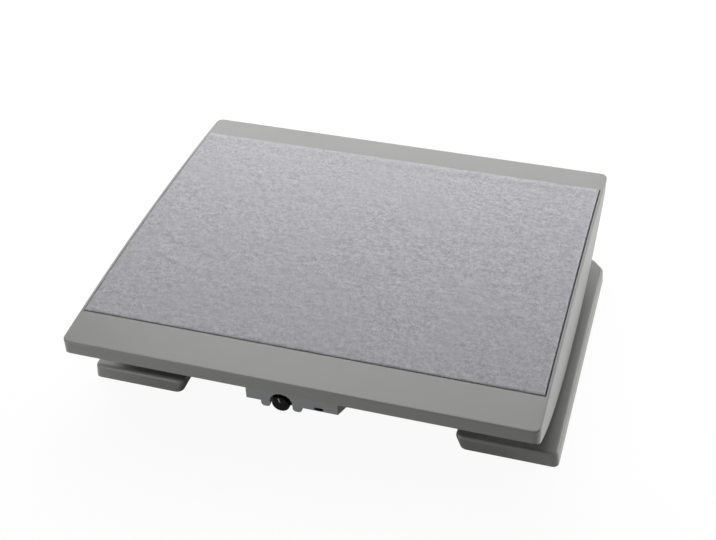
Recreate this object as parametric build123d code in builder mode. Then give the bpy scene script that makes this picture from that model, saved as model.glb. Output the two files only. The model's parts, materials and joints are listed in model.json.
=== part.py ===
from build123d import *

import os
from math import sqrt

# Heated rocking footrest: a carpeted platform that rocks in two cradles on a pair of feet.
# Millimetres. The origin is on the floor under the middle of the platform.
# +X is to the right of someone facing the front, +Y is to the rear and +Z is up.

# Platform
platform_width = 450.0
platform_depth = 400.0
platform_edge_height = 107.0
crown_rise = 7.0
lip_height = 14.0
lip_wall = 4.0
band_wall = 3.0
deck_floor = 3.0
front_band = 42.0
rear_band = 35.0
plan_corner = 7.5
top_edge_round = 1.5

# Layers in the recess of the deck, from the top down
carpet_thickness = 4.0
spreader_thickness = 1.0
element_thickness = 0.8
insulation_thickness = 3.0
layer_gap = 0.2
carpet_gap = 1.2
carpet_tight_gap = 0.2
layer_inset = 6.0
element_inset = 14.0
ribbon_width = 8.0
ribbon_pitch = 22.0

# Cheeks, which are the curved side walls, and the tilt
cheek_thickness = 3.0
cheek_ground_gap = 29.0
tilt_height = 421.0
tilt_limit = 15.0
shelf_width = 14.0
shelf_thickness = 10.0
shelf_length = 300.0

# Feet
foot_overhang = 12.0
foot_width = 95.0
foot_flare = 6.0
foot_lean = 1.5
foot_front_setback = 63.0
foot_rear_setback = 35.0
foot_height = 17.5
foot_ceiling = 4.0
foot_rim = 18.0
foot_edge_round = 4.0
foot_front_outer_corner = 6.0
foot_front_inner_corner = 7.0
foot_rear_chamfer_width = 12.0
foot_rear_chamfer_length = 14.0
foot_rear_round = 6.0
pad_diameter = 14.0
pad_thickness = 3.0
pad_stand = 1.5

# Rails under the deck and the cradles that they slide in
rail_thickness = 10.0
rail_length = 236.0
rail_ground_gap = 47.0
cradle_length = 180.0
cradle_flange = 6.0
flange_lip = 4.0
flange_crest_width = 48.0
flange_crest_margin = 9.0
groove_clearance = 0.75
glide_thickness = 1.5
glide_clearance = 0.3
glide_end_margin = 6.0
glide_side_gap = 0.4

# Guide bolts, which run in an arc slot of each rail
bolt_height = 69.0
bolt_diameter = 6.0
bolt_head_diameter = 12.0
bolt_head_height = 4.0
bolt_tail = 2.0
bolt_nut_width = 10.0
bolt_nut_height = 5.0
bush_diameter = 10.0
bush_end_gap = 0.3
slot_clearance = 0.4
slot_end_angle = 0.5

# Cross bars between the feet
bar_depth = 20.0
bar_height = 8.0
bar_round = 1.0
bar_reach = 36.0
bar_spacing = 110.0
bar_clearance = 0.2
bar_screw_end = 8.0
bar_screw_spacing = 10.0

# Screws and fits
screw_diameter = 4.0
screw_head_diameter = 8.0
screw_head_height = 2.4
small_screw_diameter = 3.0
small_screw_head_diameter = 5.5
small_screw_head_height = 2.0
deck_screw_length = 12.0
cradle_screw_length = 14.0
cradle_screw_margin = 8.0
bar_screw_length = 11.0
housing_screw_length = 11.5
board_screw_length = 6.0
rail_screw_inset = 13.0
cheek_screw_spacing = 85.0
seat_gap = 0.1
thread_clearance = 0.05
pilot_end = 1.0

# Control housing under the front lip
housing_setback = 7.0
housing_offset = -2.0
housing_width = 88.0
housing_flare = 12.0
housing_depth = 30.5
housing_drop = 20.0
housing_wall = 2.0
housing_floor = 1.5
housing_round = 0.8
boss_diameter = 8.0
boss_spacing = 76.0
board_boss_diameter = 6.0
board_boss_spacing = 48.0

# Knob and rotary control
knob_offset = -12.2
knob_rise = 1.6
knob_diameter = 17.2
knob_depth = 12.0
knob_proud = 2.0
knob_round = 1.4
knob_back_gap = 0.5
knob_skirt_diameter = 19.8
knob_skirt_depth = 4.0
knob_skirt_round = 0.8
flute_count = 24
flute_radius = 0.8
flute_depth = 0.4
flute_end = 0.6
knob_socket_diameter = 14.0
knob_socket_depth = 3.5
knob_face_wall = 2.8
arch_clearance = 0.9
guard_width = 8.8
guard_drop = 5.8
guard_round = 3.2
well_drop = 10.0
pointer_width = 1.1
pointer_length = 5.0
pointer_depth = 0.8
pointer_turn = 12.0
shaft_diameter = 6.0
shaft_engagement = 3.0
running_clearance = 0.05
control_diameter = 16.5
control_depth = 9.0
control_bush_diameter = 7.0
control_bush_reach = 2.5
control_nut_width = 10.0
control_nut_thickness = 2.2

# Slide switch
switch_offset = 24.0
switch_width = 14.0
switch_depth = 6.0
switch_height = 6.0
button_width = 4.4
button_height = 2.0
button_round = 0.4
button_proud = 1.2
button_tail = 4.0
button_travel = 1.75
button_clearance = 0.4

# Control board, terminal block, thermal cut-off, leads and cord gland
board_width = 62.0
board_depth = 18.0
board_thickness = 1.6
board_height = 92.0
terminal_width = 18.0
terminal_depth = 10.0
terminal_height = 9.0
cutoff_offset_x = -4.0
cutoff_offset_y = -60.0
cutoff_diameter = 16.0
cutoff_drop = 7.0
cutoff_flange_diameter = 24.0
cutoff_flange_thickness = 1.2
cutoff_clearance = 0.3
lead_diameter = 2.6
lead_spacing = 7.0
lead_gap = 0.3
clip_width = 20.0
clip_length = 8.0
clip_thickness = 5.0
clip_spacing = 40.0
gland_offset = 24.0
gland_floor_gap = 0.4
gland_bore = 7.2
gland_thread = 10.4
gland_flange = 14.0
gland_flange_thickness = 3.0
gland_tail_diameter = 10.4
gland_tail = 9.0
gland_nut_width = 14.0
gland_nut_thickness = 4.0
gland_end = 1.5

# Places that follow from these sizes
platform_front = -platform_depth / 2
platform_rear = platform_depth / 2
lip_bottom = platform_edge_height - lip_height
crown_radius = ((platform_depth / 2) ** 2 + crown_rise**2) / (2 * crown_rise)
crown_centre = platform_edge_height + crown_rise - crown_radius
carpet_front = platform_front + front_band
carpet_rear = platform_rear - rear_band
deck_half_width = platform_width / 2 - cheek_thickness

spreader_top = carpet_thickness + layer_gap
element_top = spreader_top + spreader_thickness + layer_gap
insulation_top = element_top + element_thickness + layer_gap
recess_depth = insulation_top + insulation_thickness + layer_gap
deck_underside = recess_depth + deck_floor
under_deck_seat = deck_underside + layer_gap

foot_outer = platform_width / 2 + foot_overhang
foot_inner = foot_outer - foot_width
foot_front = platform_front + foot_front_setback
foot_rear = platform_rear - foot_rear_setback
ceiling_height = foot_height - foot_ceiling

groove_width = rail_thickness + 2 * groove_clearance
cradle_width = groove_width + 2 * cradle_flange
rail_offset = foot_inner + foot_rim + cradle_width / 2
rail_radius = tilt_height - rail_ground_gap
glide_radius = rail_radius + glide_clearance
bed_radius = glide_radius + glide_thickness + seat_gap
slot_radius = tilt_height - bolt_height
cradle_inner = rail_offset - cradle_width / 2
cradle_outer = rail_offset + cradle_width / 2

bar_top = ceiling_height - seat_gap
bar_bottom = bar_top - bar_height
bar_end = foot_inner + foot_rim + bar_reach
cradle_screw_near = bar_spacing / 2 - bar_depth / 2 - cradle_screw_margin
cradle_screw_far = bar_spacing / 2 + bar_depth / 2 + cradle_screw_margin

housing_front = platform_front + housing_setback
housing_rear = housing_front + housing_depth
housing_bottom = lip_bottom - housing_drop
housing_floor_top = housing_bottom + housing_floor
housing_top = band_wall + layer_gap
boss_line = (housing_front + housing_rear) / 2
gland_height = housing_floor_top + gland_floor_gap + gland_nut_width / 2

knob_height = housing_bottom + knob_rise
knob_front = housing_front - knob_proud
knob_back = knob_front + knob_depth
arch_radius = knob_skirt_diameter / 2 + arch_clearance
recess_back = knob_back + knob_back_gap
well_half_width = arch_radius + guard_width
well_bottom = housing_bottom - well_drop
control_front = recess_back + housing_wall + seat_gap
bush_front = recess_back - control_bush_reach
shaft_front = knob_front + knob_face_wall
shaft_back = control_front + shaft_engagement

slot_half_width = button_width / 2 + button_travel + button_clearance
button_bottom = housing_floor_top + button_clearance
button_top = button_bottom + button_height
switch_front = housing_front + housing_wall + seat_gap
button_back = switch_front + button_tail


def crown_height(y, depth):
    """Height of the layer that lies this far below the crowned top, at y."""
    return crown_centre + sqrt((crown_radius - depth) ** 2 - y**2)


def axis_height(y, radius):
    """Height, at y, of the arc of this radius under the tilt axis."""
    return tilt_height - sqrt(radius**2 - y**2)


def crown_arc(front, rear, depth):
    """Arc of the crown at this depth, from front to rear, in the active line."""
    middle = (front + rear) / 2
    ThreePointArc(
        (front, crown_height(front, depth)),
        (middle, crown_height(middle, depth)),
        (rear, crown_height(rear, depth)),
    )


def crowned_layer(front, rear, upper, lower, x=0):
    """Profile facing X between two depths below the crowned top."""
    with BuildSketch(Plane.YZ.offset(x)) as profile:
        with BuildLine():
            crown_arc(front, rear, upper)
            Line((rear, crown_height(rear, upper)), (rear, crown_height(rear, lower)))
            crown_arc(front, rear, lower)
            Line((front, crown_height(front, upper)), (front, crown_height(front, lower)))
        make_face()
    return profile.sketch


def crown_over_flat(front, rear, upper, bottom):
    """Profile facing X from a flat bottom up to a depth below the crowned top."""
    with BuildSketch(Plane.YZ) as profile:
        with BuildLine():
            crown_arc(front, rear, upper)
            Polyline(
                (front, crown_height(front, upper)),
                (front, bottom),
                (rear, bottom),
                (rear, crown_height(rear, upper)),
            )
        make_face()
    return profile.sketch


def crown_over_arc(half_length, upper, end_height, middle_height, x):
    """Profile facing X from an arc, given by its heights, up to a depth below the crowned top."""
    with BuildSketch(Plane.YZ.offset(x)) as profile:
        with BuildLine():
            crown_arc(-half_length, half_length, upper)
            for end in (-half_length, half_length):
                Line((end, crown_height(end, upper)), (end, end_height))
            ThreePointArc((-half_length, end_height), (0, middle_height), (half_length, end_height))
        make_face()
    return profile.sketch


def facing_front(y):
    """Plane at this y that faces the front, with X to the right and Z up."""
    return Plane.XZ.offset(-y)


def pan_screw(diameter, head_diameter, head_height, length):
    """Screw that points up, with the seat of its head at the origin."""
    with BuildPart() as screw:
        Cylinder(diameter / 2, length, align=(Align.CENTER, Align.CENTER, Align.MIN))
        Cylinder(head_diameter / 2, head_height, align=(Align.CENTER, Align.CENTER, Align.MAX))
    return screw.part


def flat_head_screw(gap):
    """Deck screw that points down from its head's top at the origin, grown by a gap."""
    radius = screw_diameter / 2 + gap
    head_radius = screw_head_diameter / 2 + gap
    with BuildPart() as screw:
        Cylinder(radius, deck_screw_length + gap, align=(Align.CENTER, Align.CENTER, Align.MAX))
        Cone(radius, head_radius, screw_head_height, align=(Align.CENTER, Align.CENTER, Align.MAX))
    return screw.part


def write(node, name):
    """Label a finished piece and write it under its name."""
    node.part.label = name
    export_step(node.part, f"parts/{name}.step")


os.makedirs("parts", exist_ok=True)

# Outer form of the platform: crowned slab, side segments, rounded plan and rounded top edge.
with BuildSketch() as platform_plan:
    RectangleRounded(platform_width, platform_depth, plan_corner)

with BuildPart() as platform_form:
    extrude(
        crown_over_flat(platform_front, platform_rear, 0, lip_bottom),
        amount=platform_width / 2,
        both=True,
    )
    extrude(platform_plan.sketch, amount=tilt_height, mode=Mode.INTERSECT)
    fillet(platform_form.faces().sort_by(Axis.Z)[-1].outer_wire().edges(), top_edge_round)
    for side in (1, -1):
        segment = crown_over_arc(
            platform_depth / 2,
            2 * top_edge_round,
            lip_bottom,
            cheek_ground_gap,
            side * deck_half_width,
        )
        extrude(segment, amount=side * cheek_thickness)
    extrude(platform_plan.sketch, amount=tilt_height, mode=Mode.INTERSECT)

# Screws that hold the rails and the cheeks under the floor of the deck
deck_screw_places = []
for side in (1, -1):
    for y in (-rail_length / 2 + rail_screw_inset, 0, rail_length / 2 - rail_screw_inset):
        deck_screw_places.append((side * rail_offset, y))
    for step in (-1.5, -0.5, 0.5, 1.5):
        deck_screw_places.append((side * (deck_half_width - shelf_width / 2), step * cheek_screw_spacing))
deck_screw_points = [(x, y, crown_height(y, recess_depth) - seat_gap) for x, y in deck_screw_places]

with BuildPart() as deck_screws:
    with Locations(*deck_screw_points):
        add(flat_head_screw(0))
write(deck_screws, "deck_screws")

# Deck: a moulded panel with a recess above for the heated layers, and hollow below.
with BuildPart() as top_deck:
    add(platform_form.part)
    Box(
        2 * deck_half_width,
        platform_depth,
        2 * tilt_height,
        mode=Mode.INTERSECT,
    )
    extrude(
        crowned_layer(carpet_front, carpet_rear, -crown_rise, recess_depth),
        amount=deck_half_width,
        both=True,
        mode=Mode.SUBTRACT,
    )
    hollows = [
        (platform_front + lip_wall, carpet_front - band_wall, band_wall),
        (carpet_front - band_wall, carpet_rear + band_wall, deck_underside),
        (carpet_rear + band_wall, platform_rear - lip_wall, band_wall),
    ]
    for front, rear, upper in hollows:
        extrude(
            crown_over_flat(front, rear, upper, lip_bottom - lip_height),
            amount=deck_half_width,
            both=True,
            mode=Mode.SUBTRACT,
        )
    # Bosses that carry the control housing and the control board
    for spacing, diameter, bottom in (
        (boss_spacing, boss_diameter, housing_floor_top + seat_gap),
        (board_boss_spacing, board_boss_diameter, board_height + seat_gap),
    ):
        boss_top = crown_height(boss_line, band_wall / 2)
        with BuildSketch(Plane.XY.offset(bottom)):
            with Locations((spacing / 2, boss_line), (-spacing / 2, boss_line)):
                Circle(diameter / 2)
        extrude(amount=boss_top - bottom)
    with Locations(*deck_screw_points):
        add(flat_head_screw(thread_clearance), mode=Mode.SUBTRACT)
    for spacing, bottom, reach in (
        (boss_spacing, housing_floor_top, housing_screw_length - housing_floor),
        (board_boss_spacing, board_height, board_screw_length - board_thickness),
    ):
        with BuildSketch(Plane.XY.offset(bottom)):
            with Locations((spacing / 2, boss_line), (-spacing / 2, boss_line)):
                Circle(small_screw_diameter / 2 + thread_clearance)
        extrude(amount=reach + pilot_end, mode=Mode.SUBTRACT)
    with Locations((cutoff_offset_x, cutoff_offset_y, platform_edge_height)):
        Cylinder(cutoff_diameter / 2 + cutoff_clearance, 2 * lip_height, mode=Mode.SUBTRACT)
write(top_deck, "top_deck")

# Cheeks: the curved side walls, each with a shelf that the deck is screwed to.
with BuildPart() as right_cheek:
    add(platform_form.part)
    with Locations((deck_half_width, 0, 0)):
        Box(
            2 * cheek_thickness,
            platform_depth,
            2 * tilt_height,
            align=(Align.MIN, Align.CENTER, Align.CENTER),
            mode=Mode.INTERSECT,
        )
    shelf = crowned_layer(
        -shelf_length / 2,
        shelf_length / 2,
        under_deck_seat,
        under_deck_seat + shelf_thickness,
        deck_half_width,
    )
    extrude(shelf, amount=-shelf_width)
    with Locations(*deck_screw_points):
        add(flat_head_screw(thread_clearance), mode=Mode.SUBTRACT)
write(right_cheek, "right_cheek")

with BuildPart() as left_cheek:
    mirror(right_cheek.part, about=Plane.YZ)
write(left_cheek, "left_cheek")

# Heated layers, from the top down. The mat lies against the left and the rear of the recess.
with BuildPart() as carpet_mat:
    mat_profile = crowned_layer(
        carpet_front + carpet_gap,
        carpet_rear - carpet_tight_gap,
        0,
        carpet_thickness,
        carpet_tight_gap - deck_half_width,
    )
    extrude(mat_profile, amount=2 * deck_half_width - carpet_gap - carpet_tight_gap)
write(carpet_mat, "carpet_mat")

with BuildPart() as heat_spreader:
    extrude(
        crowned_layer(
            carpet_front + layer_inset,
            carpet_rear - layer_inset,
            spreader_top,
            spreader_top + spreader_thickness,
        ),
        amount=deck_half_width - layer_inset,
        both=True,
    )
write(heat_spreader, "heat_spreader")

# Heating element: one flat ribbon that runs to and fro across the platform.
run_length = 2 * (deck_half_width - element_inset)
ribbon_span = carpet_rear - carpet_front - 2 * element_inset - ribbon_width
run_count = int(ribbon_span // ribbon_pitch) + 1
first_run = (carpet_front + carpet_rear - (run_count - 1) * ribbon_pitch) / 2
with BuildPart() as heating_element:
    extrude(
        crowned_layer(
            carpet_front + layer_inset,
            carpet_rear - layer_inset,
            element_top,
            element_top + element_thickness,
        ),
        amount=deck_half_width - layer_inset,
        both=True,
    )
    with BuildSketch():
        for run in range(run_count):
            with Locations((0, first_run + run * ribbon_pitch)):
                Rectangle(run_length, ribbon_width)
        for turn in range(run_count - 1):
            end = (run_length - ribbon_width) / 2 * (1 if turn % 2 == 0 else -1)
            with Locations((end, first_run + (turn + 0.5) * ribbon_pitch)):
                Rectangle(ribbon_width, ribbon_pitch + ribbon_width)
    extrude(amount=2 * platform_edge_height, mode=Mode.INTERSECT)
write(heating_element, "heating_element")

with BuildPart() as insulation_sheet:
    extrude(
        crowned_layer(
            carpet_front + layer_inset,
            carpet_rear - layer_inset,
            insulation_top,
            insulation_top + insulation_thickness,
        ),
        amount=deck_half_width - layer_inset,
        both=True,
    )
    with Locations((cutoff_offset_x, cutoff_offset_y, platform_edge_height)):
        Cylinder(cutoff_diameter / 2 + cutoff_clearance, 2 * lip_height, mode=Mode.SUBTRACT)
write(insulation_sheet, "insulation_sheet")

# Thermal cut-off: a disc through the floor of the deck, up against the element.
cutoff_top = crown_height(cutoff_offset_y, insulation_top) - layer_gap
cutoff_seat = crown_height(cutoff_offset_y, under_deck_seat) - layer_gap
with BuildPart() as thermal_cutoff:
    with BuildSketch(Plane.XY.offset(cutoff_seat - cutoff_drop)):
        with Locations((cutoff_offset_x, cutoff_offset_y)):
            Circle(cutoff_diameter / 2)
    extrude(amount=cutoff_top - cutoff_seat + cutoff_drop)
    with BuildSketch(Plane.XY.offset(cutoff_seat - cutoff_flange_thickness)):
        with Locations((cutoff_offset_x, cutoff_offset_y)):
            Circle(cutoff_flange_diameter / 2)
    extrude(amount=cutoff_flange_thickness)
write(thermal_cutoff, "thermal_cutoff")

# Leads from the cut-off to the terminal block, straight along the underside of the deck
terminal_rear = boss_line + terminal_depth / 2
lead_depth = under_deck_seat + cutoff_flange_thickness + lead_gap + lead_diameter / 2
lead_rear = cutoff_offset_y - cutoff_diameter / 2 - lead_gap
lead_top = crown_height(lead_rear, lead_depth)
lead_wall = crown_height(carpet_front, lead_depth)
lead_slope = (lead_top - lead_wall) / (lead_rear - carpet_front)
lead_front = terminal_rear + lead_gap
lead_end = lead_top + lead_slope * (lead_front - lead_rear)
lead_run = sqrt((lead_rear - lead_front) ** 2 + (lead_top - lead_end) ** 2)
lead_plane = Plane(
    origin=(cutoff_offset_x, lead_front, lead_end),
    x_dir=(1, 0, 0),
    z_dir=(0, lead_rear - lead_front, lead_top - lead_end),
)
lead_places = [(lead_spacing / 2, 0), (-lead_spacing / 2, 0)]

with BuildPart() as heater_leads:
    with BuildSketch(lead_plane):
        with Locations(*lead_places):
            Circle(lead_diameter / 2)
    extrude(amount=lead_run)
write(heater_leads, "heater_leads")

with BuildPart() as lead_clips:
    clip_middle = (carpet_front + lead_rear) / 2
    for y in (clip_middle - clip_spacing / 2, clip_middle + clip_spacing / 2):
        clip = crowned_layer(
            y - clip_length / 2,
            y + clip_length / 2,
            under_deck_seat,
            under_deck_seat + clip_thickness,
            cutoff_offset_x,
        )
        extrude(clip, amount=clip_width / 2, both=True)
    with BuildSketch(lead_plane):
        with Locations(*lead_places):
            Circle(lead_diameter / 2 + thread_clearance)
    extrude(amount=lead_run, mode=Mode.SUBTRACT)
write(lead_clips, "lead_clips")

# Rocker rails: plates with a round underside and an arc slot about the tilt axis.
slot_angle = tilt_limit + slot_end_angle
with BuildPart() as right_rail:
    extrude(
        crown_over_arc(
            rail_length / 2,
            under_deck_seat,
            axis_height(rail_length / 2, rail_radius),
            rail_ground_gap,
            rail_offset,
        ),
        amount=rail_thickness / 2,
        both=True,
    )
    with BuildSketch(Plane.YZ.offset(rail_offset)):
        with BuildLine():
            slot_line = CenterArc((0, tilt_height), slot_radius, 270 - slot_angle, 2 * slot_angle)
        SlotArc(slot_line, bush_diameter + 2 * slot_clearance)
    extrude(amount=rail_thickness, both=True, mode=Mode.SUBTRACT)
    with Locations(*deck_screw_points):
        add(flat_head_screw(thread_clearance), mode=Mode.SUBTRACT)
write(right_rail, "right_rail")

with BuildPart() as left_rail:
    mirror(right_rail.part, about=Plane.YZ)
write(left_rail, "left_rail")

# Feet: hollow runners with a rounded outline, notched for the cross bars.
# As they rise, the inner and the outer wall both lean towards the middle of the footrest.
pad_points = []
for x in (foot_inner + foot_rim / 2, foot_outer - foot_rim / 2):
    pad_points.append((x, foot_front + foot_front_outer_corner + pad_diameter / 2))
    pad_points.append((x, foot_rear - foot_rear_chamfer_length - pad_diameter / 2))
bar_lines = (-bar_spacing / 2, bar_spacing / 2)
cradle_screw_lines = (-cradle_screw_far, -cradle_screw_near, cradle_screw_near, cradle_screw_far)
cradle_screw_points = [(rail_offset, y) for y in cradle_screw_lines]
bar_screw_points = []
for y in bar_lines:
    for shift in (-bar_screw_spacing / 2, bar_screw_spacing / 2):
        bar_screw_points.append((bar_end - bar_screw_end, y + shift))


def corner_edges(part, rank):
    """The upright edges of a part that are this far in rank from the front, from left to right."""
    straight = part.edges().filter_by(GeomType.LINE)
    upright = straight.filter_by(lambda edge: abs(edge.tangent_at(0).Z) > 0.5)
    return upright.group_by(Axis.Y)[rank].sort_by(Axis.X)


with BuildPart() as right_foot:
    with BuildSketch(facing_front(foot_front)):
        with BuildLine():
            Polyline(
                (foot_inner, pad_stand),
                (foot_outer, pad_stand),
                (foot_outer - foot_lean, foot_height),
                (foot_inner - foot_flare, foot_height),
                close=True,
            )
        make_face()
    extrude(amount=-(foot_rear - foot_front))
    chamfer(
        corner_edges(right_foot, -1),
        foot_rear_chamfer_width,
        foot_rear_chamfer_length,
        reference=right_foot.faces().sort_by(Axis.Y)[-1],
    )
    fillet(corner_edges(right_foot, -1) + corner_edges(right_foot, -2), foot_rear_round)
    fillet(corner_edges(right_foot, 0)[-1], foot_front_outer_corner)
    fillet(corner_edges(right_foot, 0)[0], foot_front_inner_corner)
    fillet(right_foot.faces().sort_by(Axis.Z)[-1].edges(), foot_edge_round)
    with BuildSketch(Plane.XY.offset(pad_stand)):
        with Locations(((foot_inner + foot_outer) / 2, (foot_front + foot_rear) / 2)):
            RectangleRounded(
                foot_width - 2 * foot_rim,
                foot_rear - foot_front - 2 * foot_rim,
                foot_edge_round,
            )
    extrude(amount=ceiling_height - pad_stand, mode=Mode.SUBTRACT)
    for y in bar_lines:
        with Locations((foot_inner + foot_rim - foot_flare / 2, y, bar_bottom + bar_height / 2)):
            Box(
                2 * foot_rim + foot_flare,
                bar_depth + 2 * bar_clearance,
                bar_height + 2 * bar_clearance,
                mode=Mode.SUBTRACT,
            )
    with BuildSketch(Plane.XY.offset(pad_stand)):
        with Locations(*pad_points):
            Circle(pad_diameter / 2 + seat_gap)
    extrude(amount=pad_thickness - pad_stand + seat_gap, mode=Mode.SUBTRACT)
    with BuildSketch(Plane.XY.offset(ceiling_height)):
        with Locations(*cradle_screw_points, *bar_screw_points):
            Circle(screw_diameter / 2 + thread_clearance)
    extrude(amount=foot_ceiling, mode=Mode.SUBTRACT)
write(right_foot, "right_foot")

with BuildPart() as left_foot:
    mirror(right_foot.part, about=Plane.YZ)
write(left_foot, "left_foot")

with BuildPart() as floor_pads:
    with BuildSketch():
        with Locations(*pad_points):
            Circle(pad_diameter / 2)
    extrude(amount=pad_thickness)
    mirror(about=Plane.YZ)
write(floor_pads, "floor_pads")

# Cradles: a bed with a round top between two flanges, which guide the rail.
cradle_seat = foot_height + seat_gap
bed_end = axis_height(cradle_length / 2, bed_radius)
with BuildPart() as right_cradle:
    with BuildSketch(Plane.YZ.offset(rail_offset)):
        with BuildLine():
            Polyline(
                (-cradle_length / 2, cradle_seat),
                (cradle_length / 2, cradle_seat),
                (cradle_length / 2, bed_end + flange_lip),
                (flange_crest_width / 2, bolt_height + flange_crest_margin),
                (-flange_crest_width / 2, bolt_height + flange_crest_margin),
                (-cradle_length / 2, bed_end + flange_lip),
                close=True,
            )
        make_face()
    extrude(amount=cradle_width / 2, both=True)
    with BuildSketch(Plane.YZ.offset(rail_offset)):
        with Locations((0, tilt_height)):
            Circle(bed_radius)
    extrude(amount=groove_width / 2, both=True, mode=Mode.SUBTRACT)
    with BuildSketch(Plane.YZ.offset(rail_offset)):
        with Locations((0, bolt_height)):
            Circle(bolt_diameter / 2 + thread_clearance)
    extrude(amount=cradle_width, both=True, mode=Mode.SUBTRACT)
    with BuildSketch(Plane.XY.offset(cradle_seat)):
        with Locations(*cradle_screw_points):
            Circle(screw_diameter / 2 + thread_clearance)
    extrude(amount=cradle_screw_length - foot_ceiling + pilot_end, mode=Mode.SUBTRACT)
write(right_cradle, "right_cradle")

with BuildPart() as left_cradle:
    mirror(right_cradle.part, about=Plane.YZ)
write(left_cradle, "left_cradle")

# Glide strips on the beds of the cradles
with BuildPart() as glide_strips:
    strip_half_length = cradle_length / 2 - glide_end_margin
    with BuildSketch(Plane.YZ.offset(rail_offset)):
        with BuildLine():
            for radius in (glide_radius, glide_radius + glide_thickness):
                ThreePointArc(
                    (-strip_half_length, axis_height(strip_half_length, radius)),
                    (0, tilt_height - radius),
                    (strip_half_length, axis_height(strip_half_length, radius)),
                )
            for end in (-strip_half_length, strip_half_length):
                Line(
                    (end, axis_height(end, glide_radius)),
                    (end, axis_height(end, glide_radius + glide_thickness)),
                )
        make_face()
    extrude(amount=groove_width / 2 - glide_side_gap, both=True)
    mirror(about=Plane.YZ)
write(glide_strips, "glide_strips")

# Guide bolts with their bushes and nuts: they hold the rails down and stop the tilt.
with BuildPart() as guide_bolts:
    with BuildSketch(Plane.YZ.offset(cradle_outer + seat_gap)):
        with Locations((0, bolt_height)):
            Circle(bolt_head_diameter / 2)
    extrude(amount=bolt_head_height)
    with BuildSketch(Plane.YZ.offset(cradle_outer + seat_gap)):
        with Locations((0, bolt_height)):
            Circle(bolt_diameter / 2)
    extrude(amount=-(cradle_width + 2 * seat_gap + bolt_nut_height + bolt_tail))
    mirror(about=Plane.YZ)
write(guide_bolts, "guide_bolts")

with BuildPart() as guide_bushes:
    with BuildSketch(Plane.YZ.offset(rail_offset)):
        with Locations((0, bolt_height)):
            Circle(bush_diameter / 2)
            Circle(bolt_diameter / 2 + thread_clearance, mode=Mode.SUBTRACT)
    extrude(amount=groove_width / 2 - bush_end_gap, both=True)
    mirror(about=Plane.YZ)
write(guide_bushes, "guide_bushes")

with BuildPart() as guide_nuts:
    with BuildSketch(Plane.YZ.offset(cradle_inner - seat_gap)):
        with Locations((0, bolt_height)):
            RegularPolygon(bolt_nut_width / 2, 6, major_radius=False)
            Circle(bolt_diameter / 2 + thread_clearance, mode=Mode.SUBTRACT)
    extrude(amount=-bolt_nut_height)
    mirror(about=Plane.YZ)
write(guide_nuts, "guide_nuts")

# Cross bars between the feet, and the screws of the base
for bar_name, y in zip(("front_cross_bar", "rear_cross_bar"), bar_lines):
    with BuildPart() as cross_bar:
        with Locations((0, y, bar_bottom + bar_height / 2)):
            Box(2 * bar_end, bar_depth, bar_height)
        fillet(cross_bar.edges().filter_by(Axis.X), bar_round)
        with BuildSketch(Plane.XY.offset(bar_bottom)):
            with Locations(*[p for p in bar_screw_points if p[1] * y > 0]):
                Circle(screw_diameter / 2 + thread_clearance)
        extrude(amount=bar_height, mode=Mode.SUBTRACT)
        with BuildSketch(Plane.XY.offset(bar_bottom)):
            with Locations(*[(-p[0], p[1]) for p in bar_screw_points if p[1] * y > 0]):
                Circle(screw_diameter / 2 + thread_clearance)
        extrude(amount=bar_height, mode=Mode.SUBTRACT)
    write(cross_bar, bar_name)

with BuildPart() as cross_bar_screws:
    with Locations(*[(x, y, bar_bottom - seat_gap) for x, y in bar_screw_points]):
        add(pan_screw(screw_diameter, screw_head_diameter, screw_head_height, bar_screw_length))
    mirror(about=Plane.YZ)
write(cross_bar_screws, "cross_bar_screws")

with BuildPart() as cradle_screws:
    with Locations(*[(x, y, ceiling_height - seat_gap) for x, y in cradle_screw_points]):
        add(pan_screw(screw_diameter, screw_head_diameter, screw_head_height, cradle_screw_length))
    mirror(about=Plane.YZ)
write(cradle_screws, "cradle_screws")


def housing_plan(inset, height):
    """Plan of the control housing, narrower at the front, inset by a wall."""
    half_front = housing_width / 2
    half_rear = half_front + housing_flare
    with BuildSketch(Plane.XY.offset(height)) as plan:
        with BuildLine():
            Polyline(
                (housing_offset - half_front, housing_front),
                (housing_offset + half_front, housing_front),
                (housing_offset + half_rear, housing_rear),
                (housing_offset - half_rear, housing_rear),
                close=True,
            )
        make_face()
        if inset:
            offset(amount=-inset, kind=Kind.INTERSECTION)
    return plan.sketch


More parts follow.
